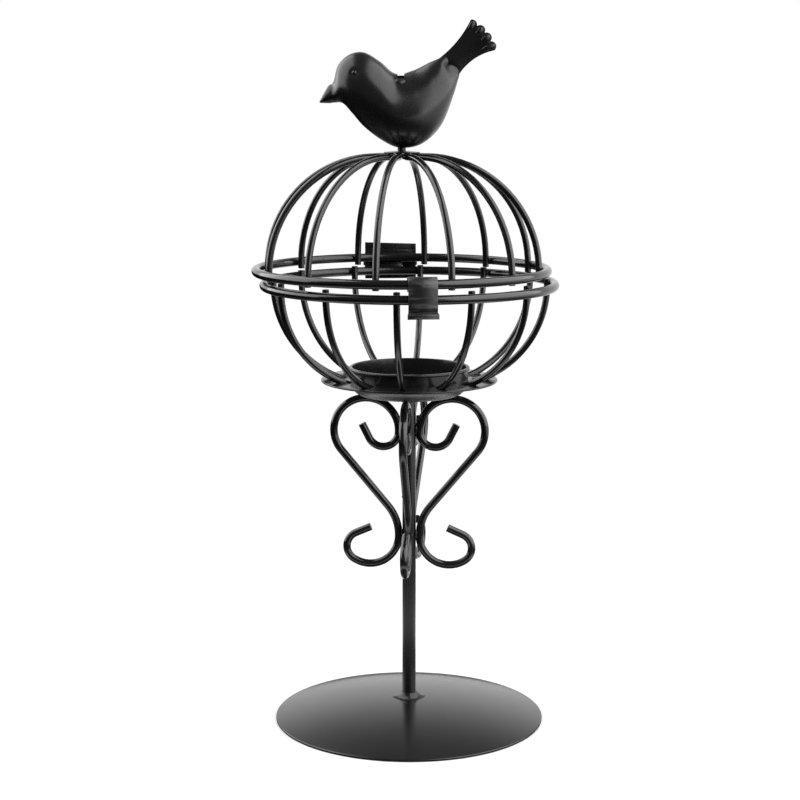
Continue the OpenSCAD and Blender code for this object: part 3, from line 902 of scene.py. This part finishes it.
def tail_outline():
    tips = [TAIL_ROOT + Vector((cos(a), sin(a))) * tail_reach(a)
            for a in [5 + 0.75 * k for k in range(100)]]
    for middle, radius in (TAIL_UNDER, TAIL_OVER):
        tips = [p for p in tips if (p - middle).length > radius]
    inward = Vector((-0.72, -0.69)) * 1.4
    low = hollow_edge(TAIL_UNDER, RUMP_LOW, tips[0])[:-1]
    top = hollow_edge(TAIL_OVER, tips[-1], RUMP_TOP)[1:]
    return [RUMP_LOW + inward] + low + tips + top + [RUMP_TOP + inward]


def tail_fan():
    """A flat fan of sheet with a small knob at the end of each feather."""
    outline = [Vector((p.x * BIRD_K, -TAIL_HALF_T, p.y * BIRD_K)) for p in tail_outline()]
    parts = [prism("tail_fan", [on_perch(p) for p in outline], across_bird(2 * TAIL_HALF_T),
                   ENAMEL["bird"], 0.28)]
    ball = [Vector((cos(a), sin(a))) for a in range(-90, 91, 10)]
    for angle, (long, wide, high) in zip(TAIL_ANGLES, TAIL_KNOBS):
        knob = lathe("knob", ball, ENAMEL["bird"], steps=36, angle=80)
        along, across = Vector((cos(angle), sin(angle))), Vector((-sin(angle), cos(angle)))
        middle = TAIL_ROOT + along * (TAIL_TIP + 1.1 - long * 0.72)
        for v in knob.data.vertices:
            x, y, z = v.co / MM
            spot = middle + along * x * long + across * z * wide
            v.co = on_perch((spot.x * BIRD_K, -y * high, spot.y * BIRD_K)) * MM
        parts.append(knob)
    return join("tail_fan", parts)


def skin_side(x, z):
    """How far out the body's side is at a place seen from the side."""
    near = []
    for n in range(40, 20 * (len(BIRD) - 1) + 1):
        for angle in range(-88, 89, 2):
            p = skin_point(n / 20, angle, 0)
            near.append(((p.x - x) ** 2 + (p.z - z) ** 2, p.y))
    return min(near, key=lambda spot: spot[0])[1]


EYE_Y = skin_side(EYE[0] * BIRD_K, EYE[1] * BIRD_K) - EYE_SUNK


def eye_beads():
    parts = []
    for side in (-1, 1):
        ring = [Vector((0.95 * cos(a), 0.85 * sin(a))) for a in range(-90, 91, 15)]
        bead = lathe("eye", ring, ENAMEL["bird"], steps=32, angle=80)
        for v in bead.data.vertices:
            local = Vector((v.co.x / MM, v.co.z / MM, v.co.y / MM))
            v.co = on_perch(Vector((EYE[0] * BIRD_K, side * EYE_Y, EYE[1] * BIRD_K)) + local) * MM
        parts.append(bead)
    beads = join("eye_beads", parts)
    face_outward(beads.data)
    return beads


# ---- Hinge and latch ----

UPPER_LEAF_H, LOWER_LEAF_H = 8.4, 5.8
FOLD_H, FOLD_LEAN, FOLD_BACK = 2.3, 0.7, 0.32


def hinge_leaf(name, up, height, knuckles, gaps):
    """A leaf of bent sheet: its plate, notched beside its knuckles, and the rolled knuckles.

    up is 1 for the upper leaf, whose top strip is set back behind a slanting fold, and else -1.
    """
    y = PIN_Y - KNUCKLE_R
    clear = KNUCKLE_R + 0.3
    lean = FOLD_LEAN if up > 0 else 0.0
    fold = height - FOLD_H if up > 0 else height
    edge = []
    spans = sorted([(a, b, 0) for a, b in knuckles] + [(a, b, clear) for a, b in gaps])
    for a, b, level in reversed(spans):
        edge += [(b, level), (a, level)]

    def sheet(corners, front):
        outline = [Vector((WORKS_X + px, y + front, PIN_Z + up * pz)) for px, pz in corners]
        return prism(name, outline, (0, LEAF_T - front, 0), ENAMEL["works"], 0.14)

    parts = [sheet([(-HINGE_W / 2, fold), (HINGE_W / 2, fold - lean)] + edge, 0)]
    if up > 0:
        low = fold - lean - 0.6
        parts.append(sheet([(-HINGE_W / 2, height), (HINGE_W / 2, height - lean),
                            (HINGE_W / 2, low), (-HINGE_W / 2, low)], FOLD_BACK))
    for a, b in knuckles:
        roll = arc((0, 0), KNUCKLE_R, 180, 476, 40) + arc((0, 0), PIN_R + 0.02, 476, 180, 30)
        ring = [Vector((WORKS_X + a, PIN_Y + p.x, PIN_Z + up * p.y)) for p in roll]
        parts.append(prism(name, ring, (b - a, 0, 0), ENAMEL["works"], 0.08))
    return join(name, parts)


def hinge_rod():
    low, high = span("hinge_pin")
    ends = [(0, 0), (PIN_R * 0.8, 0.05), (PIN_R, 0.3)]
    length = high.x - low.x
    outline = ends + [(r, length - z) for r, z in reversed(ends)]
    rod = lathe("hinge_rod", outline, ENAMEL["works"], steps=32)
    for v in rod.data.vertices:
        v.co = Vector((v.co.z + low.x * MM, v.co.y + PIN_Y * MM, v.co.x + PIN_Z * MM))
    rod.data.flip_normals()
    return rod


LATCH_W, LATCH_LIP_MORE, LATCH_T, LATCH_EDGE = 10.0, 0.7, 0.5, 0.12
LATCH_CURL_STEPS = 34


def latch_plate():
    """A strip curled round the upper hoop, running down the front to a grooved lip."""
    reach = abs(WORKS_X) + (LATCH_W + LATCH_LIP_MORE) / 2
    bow = HOOP_R - math.sqrt(HOOP_R ** 2 - reach ** 2)
    curl = HOOP_WIRE_R + bow / 2 + 0.32
    curl_y = -(HOOP_R - bow / 2)
    fold = LOWER_HOOP_Z - UPPER_HOOP_Z - 4.3
    mid = curl + LATCH_T / 2
    line = arc((0, 0), mid, 250, 0, LATCH_CURL_STEPS)
    line += rounded([(mid, 0), (mid + 0.35, fold + 2.0), (mid - 0.15, fold + 0.3),
                     (mid + 1.15, fold - 0.4), (mid + 1.15, fold - 1.8)],
                    [0, 0.9, 0.4, 0.5, 0], 6)[1:]
    rings = []
    for i, p in enumerate(line):
        ahead = line[min(i + 1, len(line) - 1)] - line[max(i - 1, 0)]
        side = Vector((-ahead.y, ahead.x)).normalized()
        lip = max(0, min(1, (fold + 0.2 - p.y) / 0.5)) if i > LATCH_CURL_STEPS else 0
        half = (LATCH_W + LATCH_LIP_MORE * lip) / 2
        near = half - LATCH_EDGE
        dent = 0.07 * math.sin(i * 0.9) if i > 30 else 0
        ring = []
        for x, level in ((-near, 1), (-half * 0.5, 1.06), (0, 0.94), (half * 0.5, 1.05), (near, 1),
                         (half, 0.5), (half, -0.5), (near, -1), (0, -1), (-near, -1),
                         (-half, -0.5), (-half, 0.5)):
            pressed = dent * 0.5 if abs(x) < half * 0.6 else 0
            spot = p - side * (LATCH_T / 2 * level) - side * pressed
            ring.append(Vector((WORKS_X + x, curl_y - spot.x, UPPER_HOOP_Z + spot.y)))
        rings.append(ring)
    return loft("latch_plate", rings, LATCH_PAINT, angle=50)


# ---- Welds ----

def weld_cloud(name, beads):
    """A cloud of points for the weld pattern: each bead is place, size, turn."""
    mesh = bpy.data.meshes.new(name)
    mesh.from_pydata([Vector(p) * MM for p, _, _ in beads], [], [])
    for key, column in (("bead_size", 1), ("bead_turn", 2)):
        values = mesh.attributes.new(key, "FLOAT_VECTOR", "POINT")
        for i, bead in enumerate(beads):
            value = Vector(bead[column])
            values.data[i].vector = value * MM if column == 1 else [math.radians(a) for a in value]
    return mesh


def round_axis(r, angle, z, x=0):
    """A place at a radius, an angle from the front and a height."""
    return Vector((x + r * sin(angle), -r * cos(angle), z))


def cage_beads(first, hoop_z, x, end_r, end_z, seed):
    """Fillets beside each rib where it crosses its hoop, and a lump at its other end."""
    pick = random.Random(seed)
    beads = []
    for i in range(RIBS):
        angle = first + 360 / RIBS * i
        for side in (-1, 1):
            off = math.degrees(side * 0.95 / HOOP_R)
            size = (pick.uniform(0.35, 0.6), pick.uniform(0.3, 0.45), pick.uniform(0.6, 1.1))
            z = hoop_z + pick.uniform(-0.3, 0.3)
            spot = round_axis(HOOP_R - HOOP_WIRE_R - 0.12, angle + off, z, x)
            beads.append((spot, size, (0, 0, angle)))
        size = (pick.uniform(1.1, 1.5), pick.uniform(1.0, 1.6), pick.uniform(0.35, 0.55))
        spot = round_axis(end_r + pick.uniform(-0.3, 0.5), angle, end_z, x)
        beads.append((spot, size, (0, 0, angle)))
    return beads


def post_beads():
    """Fillets beside the scrolls, lumps under the cup and spatter on the post."""
    pick = random.Random(5)
    beads = []
    for angle in SCROLL_TURNS.values():
        for level in (WAIST_Z, LOOP_Z):
            for side in (-1, 1):
                size = (pick.uniform(0.5, 0.75), pick.uniform(0.5, 0.7), pick.uniform(1.6, 2.8))
                z = level + pick.uniform(-0.5, 0.5)
                spot = round_axis(POST_R + 0.25, angle + side * 22, z)
                beads.append((spot, size, (0, 0, angle)))
        size = (pick.uniform(0.8, 1.2), pick.uniform(1.2, 1.8), pick.uniform(0.35, 0.5))
        beads.append((round_axis(CONTACT_R + LOOP_R, angle, CUP_Z - 0.35), size, (0, 0, angle)))
    for k in range(8):
        angle = 45 * k + pick.uniform(-15, 15)
        size = (pick.uniform(0.6, 1.0), pick.uniform(0.5, 0.8), pick.uniform(0.4, 0.7))
        beads.append((round_axis(POST_R + 0.1, angle, CUP_Z - 0.3), size, (0, 0, angle)))
    for k in range(12):
        angle = pick.uniform(0, 360)
        s = pick.uniform(0.18, 0.34)
        z = pick.uniform(WAIST_Z - 12, WAIST_Z + 30)
        beads.append((round_axis(POST_R, angle, z), (s, s, s * 1.4), (0, 0, 0)))
    return beads


# ---- Build ----

WIRE_TREE = wire_pattern()
RIB_TREE = rib_pattern()
WELD_TREE = weld_pattern()

for name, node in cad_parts.items():
    node.data.materials.clear()
    node.data.materials.append(STEEL if name in ("base_washer", "base_screw") else ENAMEL["wire"])

fit(foot_disc(), "stand", "base_plate")
fit(foot_flare(), "stand", "foot_collar")
fit(stand_rod(), "stand", "post")

scroll_start, scroll_steps = scroll_bends()
scroll_line = bent_path(scroll_start, CURL_SLOPE - 180, scroll_steps)
scroll_values = {"Sides": 24, "Wire radius": SCROLL_R * MM, "Paint": ENAMEL["wire"]}
for side, turn in SCROLL_TURNS.items():
    name = "scroll_wire_" + side
    curve = path_curve(name, upright(scroll_line, turn))
    fit(grow(name, curve, WIRE_TREE, scroll_values, angle=50), "stand", "scroll_" + side)

fit(cup_spun(), "stand", "candle_cup")
fit(drip_dish(), "stand", "drip_plate")
fit(hoop_ring("lower_ring", 0, LOWER_HOOP_Z), "stand", "lower_hoop")
bowl_ribs = ribs("bowl_ribs", bowl_rib_points(), BOWL_TURN, 0)
keep_above(bowl_ribs, PLATE_Z - RIB_FOOT_BITE)
fit(bowl_ribs, "stand", *[f"bowl_rib_{i:02d}" for i in range(1, RIBS + 1)])

fit(hoop_ring("upper_ring", LID_X, UPPER_HOOP_Z), "lid", "upper_hoop")
fit(ribs("dome_ribs", dome_rib_points(), DOME_TURN, LID_X), "lid",
    *[f"dome_rib_{i:02d}" for i in range(1, RIBS + 1)])
fit(crown_disc(), "lid", "crown_washer")
fit(perch_stem(), "lid", "bird_stem")
for hand, side in (("left", -1), ("right", 1)):
    fit(stem_hole(bird_skin(f"bird_skin_{hand}", side)), "lid", f"bird_{hand}_half")
fit(tail_fan(), "lid", "bird_tail")
fit(eye_beads(), "lid", "bird_eyes")

# The upper leaf has a knuckle at each end of the pin, and the lower leaf one in the middle
notch = KNUCKLE_HALF + 0.3
outer, inner = [(-HINGE_W / 2, -notch), (notch, HINGE_W / 2)], [(-notch, notch)]
fit(hinge_leaf("hinge_leaf_top", 1, UPPER_LEAF_H, outer, inner), "lid", "hinge_upper_leaf")
middle = [(-KNUCKLE_HALF, KNUCKLE_HALF)]
beside = [(-HINGE_W / 2, -KNUCKLE_HALF), (KNUCKLE_HALF, HINGE_W / 2)]
fit(hinge_leaf("hinge_leaf_low", -1, LOWER_LEAF_H, middle, beside), "stand", "hinge_lower_leaf")
fit(hinge_rod(), "stand", "hinge_pin")
fit(latch_plate(), "latch", "latch_tab")

weld_values = {"Fineness": 3, "Lumps": 900.0, "Roughness": 0.35 * MM, "Paint": ENAMEL["weld"]}
stand_beads = cage_beads(BOWL_TURN, LOWER_HOOP_Z, 0, RIB_FOOT_R + 1.2, PLATE_Z + 0.1, 1)
stand_beads += post_beads()
lid_beads = cage_beads(DOME_TURN, UPPER_HOOP_Z, LID_X, 6.2, CROWN_Z - 0.25, 2)
# The spot weld on the bird's back
lid_beads.append((on_perch((-0.6, -6.2, 23.1)), (2.2, 0.9, 1.6), (-35, 0, BIRD_TURN)))
for body, beads in (("stand", stand_beads), ("lid", lid_beads)):
    name = "weld_beads_" + body
    fit(grow(name, weld_cloud(name, beads), WELD_TREE, weld_values), body)


# ---- Studio ----

# The camera, the lamps and the floor's shading are measured in metres
CAMERA_TURN, CAMERA_DIP = -6, 9.46
CAMERA_AWAY, CAMERA_ASIDE, CAMERA_Z = 0.670, 0.0034, 0.2323
WHITE = (1, 1, 1, 1)


def set_camera():
    forward = Vector((-sin(CAMERA_TURN), cos(CAMERA_TURN), 0))
    right = Vector((cos(CAMERA_TURN), sin(CAMERA_TURN), 0))
    data = bpy.data.cameras.new("camera")
    data.sensor_width = 36
    data.lens = 83.25
    data.clip_start = 0.02
    camera = add_object("camera", data)
    camera.location = -forward * CAMERA_AWAY - right * CAMERA_ASIDE + Vector((0, 0, CAMERA_Z))
    camera.rotation_euler = (math.radians(90 - CAMERA_DIP), 0, math.radians(CAMERA_TURN))
    bpy.context.scene.camera = camera


def soft_box(name, place, target, width, height, watts):
    data = bpy.data.lights.new(name, "AREA")
    data.shape = "RECTANGLE"
    data.size, data.size_y = width, height
    data.energy = watts
    lamp = add_object(name, data)
    lamp.location = place
    lamp.rotation_euler = (Vector(target) - Vector(place)).to_track_quat("-Z", "Y").to_euler()


def pale_floor():
    """A floor that the camera sees as pale and then white, and the paint mirrors in part.

    In reflections only its right, its back except at the left, and a ring round the foot are light.
    """
    look = Finish("pale_floor")
    far = look.node("ShaderNodeVectorMath", {"operation": "LENGTH"}, {0: look.place}, out="Value")
    away = look.step(far, 0.10, 0.42)
    seen = look.node("ShaderNodeLightPath", out="Is Camera Ray")
    mirrored = seen.other("Is Glossy Ray") + seen.other("Is Transmission Ray")
    x = look.node("ShaderNodeSeparateXYZ", {}, {"Vector": look.place}, out="X")
    right = look.step(x, 0.20, 0.50)
    back = look.step(x.other("Y"), 0.05, 0.40)
    not_left = look.step(x, -0.12, 0.04)
    near = look.step(far, 0.075, 0.09) * (1 - look.step(far, 0.10, 0.17))
    lit = (right + back * not_left + near).held()
    shown = (seen + mirrored * lit).held()
    speckle = look.noise(300, 2)
    pale = look.tint(speckle, (0.84, 0.84, 0.84, 1), (0.87, 0.87, 0.87, 1))
    colour = look.tint((lit + seen).held(), (0.08, 0.08, 0.08, 1), pale)
    matt = look.node("ShaderNodeBsdfDiffuse", {}, {"Color": colour})
    glow = look.node("ShaderNodeEmission", {}, {"Color": WHITE, "Strength": shown * 0.18})
    close = look.node("ShaderNodeAddShader", {}, {0: matt, 1: glow})
    white = look.node("ShaderNodeEmission", {}, {"Color": WHITE, "Strength": shown})
    paint = look.close(look.node("ShaderNodeMixShader", {}, {0: away, 1: close, 2: white}))
    half, sunk = 6000, -0.02
    corners = [(x * half, y * half, sunk) for x, y in ((-1, -1), (1, -1), (1, 1), (-1, 1))]
    floor = add_mesh("floor", corners, [(0, 1, 2, 3)], paint, outward=False)


def studio_world():
    """Soft light from behind, strongest low down; the camera itself sees white."""
    world = bpy.data.worlds.new("studio")
    bpy.context.scene.world = world
    world.use_nodes = True
    world.node_tree.nodes.clear()
    sky = Tree(world.node_tree)
    way = sky.node("ShaderNodeTexCoord", out="Generated")
    y = sky.node("ShaderNodeSeparateXYZ", {}, {"Vector": way}, out="Y")
    behind = sky.step(y, 0.0, 0.7)
    low = sky.step(y.other("Z"), 0.25, 0.74, 1.0, 0.0)
    level = 0.08 + behind * (low * 0.85 + 0.08)
    seen = sky.node("ShaderNodeLightPath", out="Is Camera Ray")
    inputs = {"Color": WHITE, "Strength": seen + (1 - seen) * level}
    light = sky.node("ShaderNodeBackground", {}, inputs)
    sky.node("ShaderNodeOutputWorld", {}, {"Surface": light})


set_camera()
pale_floor()
studio_world()
soft_box("box_left", (-0.92, 0.55, 0.90), (0.0, 0.40, 0.36), 1.8, 1.8, 22)
soft_box("box_right", (0.88, -0.34, 0.88), (0.0, 0.03, 0.34), 2.3, 1.8, 31)
bpy.context.scene.view_settings.view_transform = "Standard"
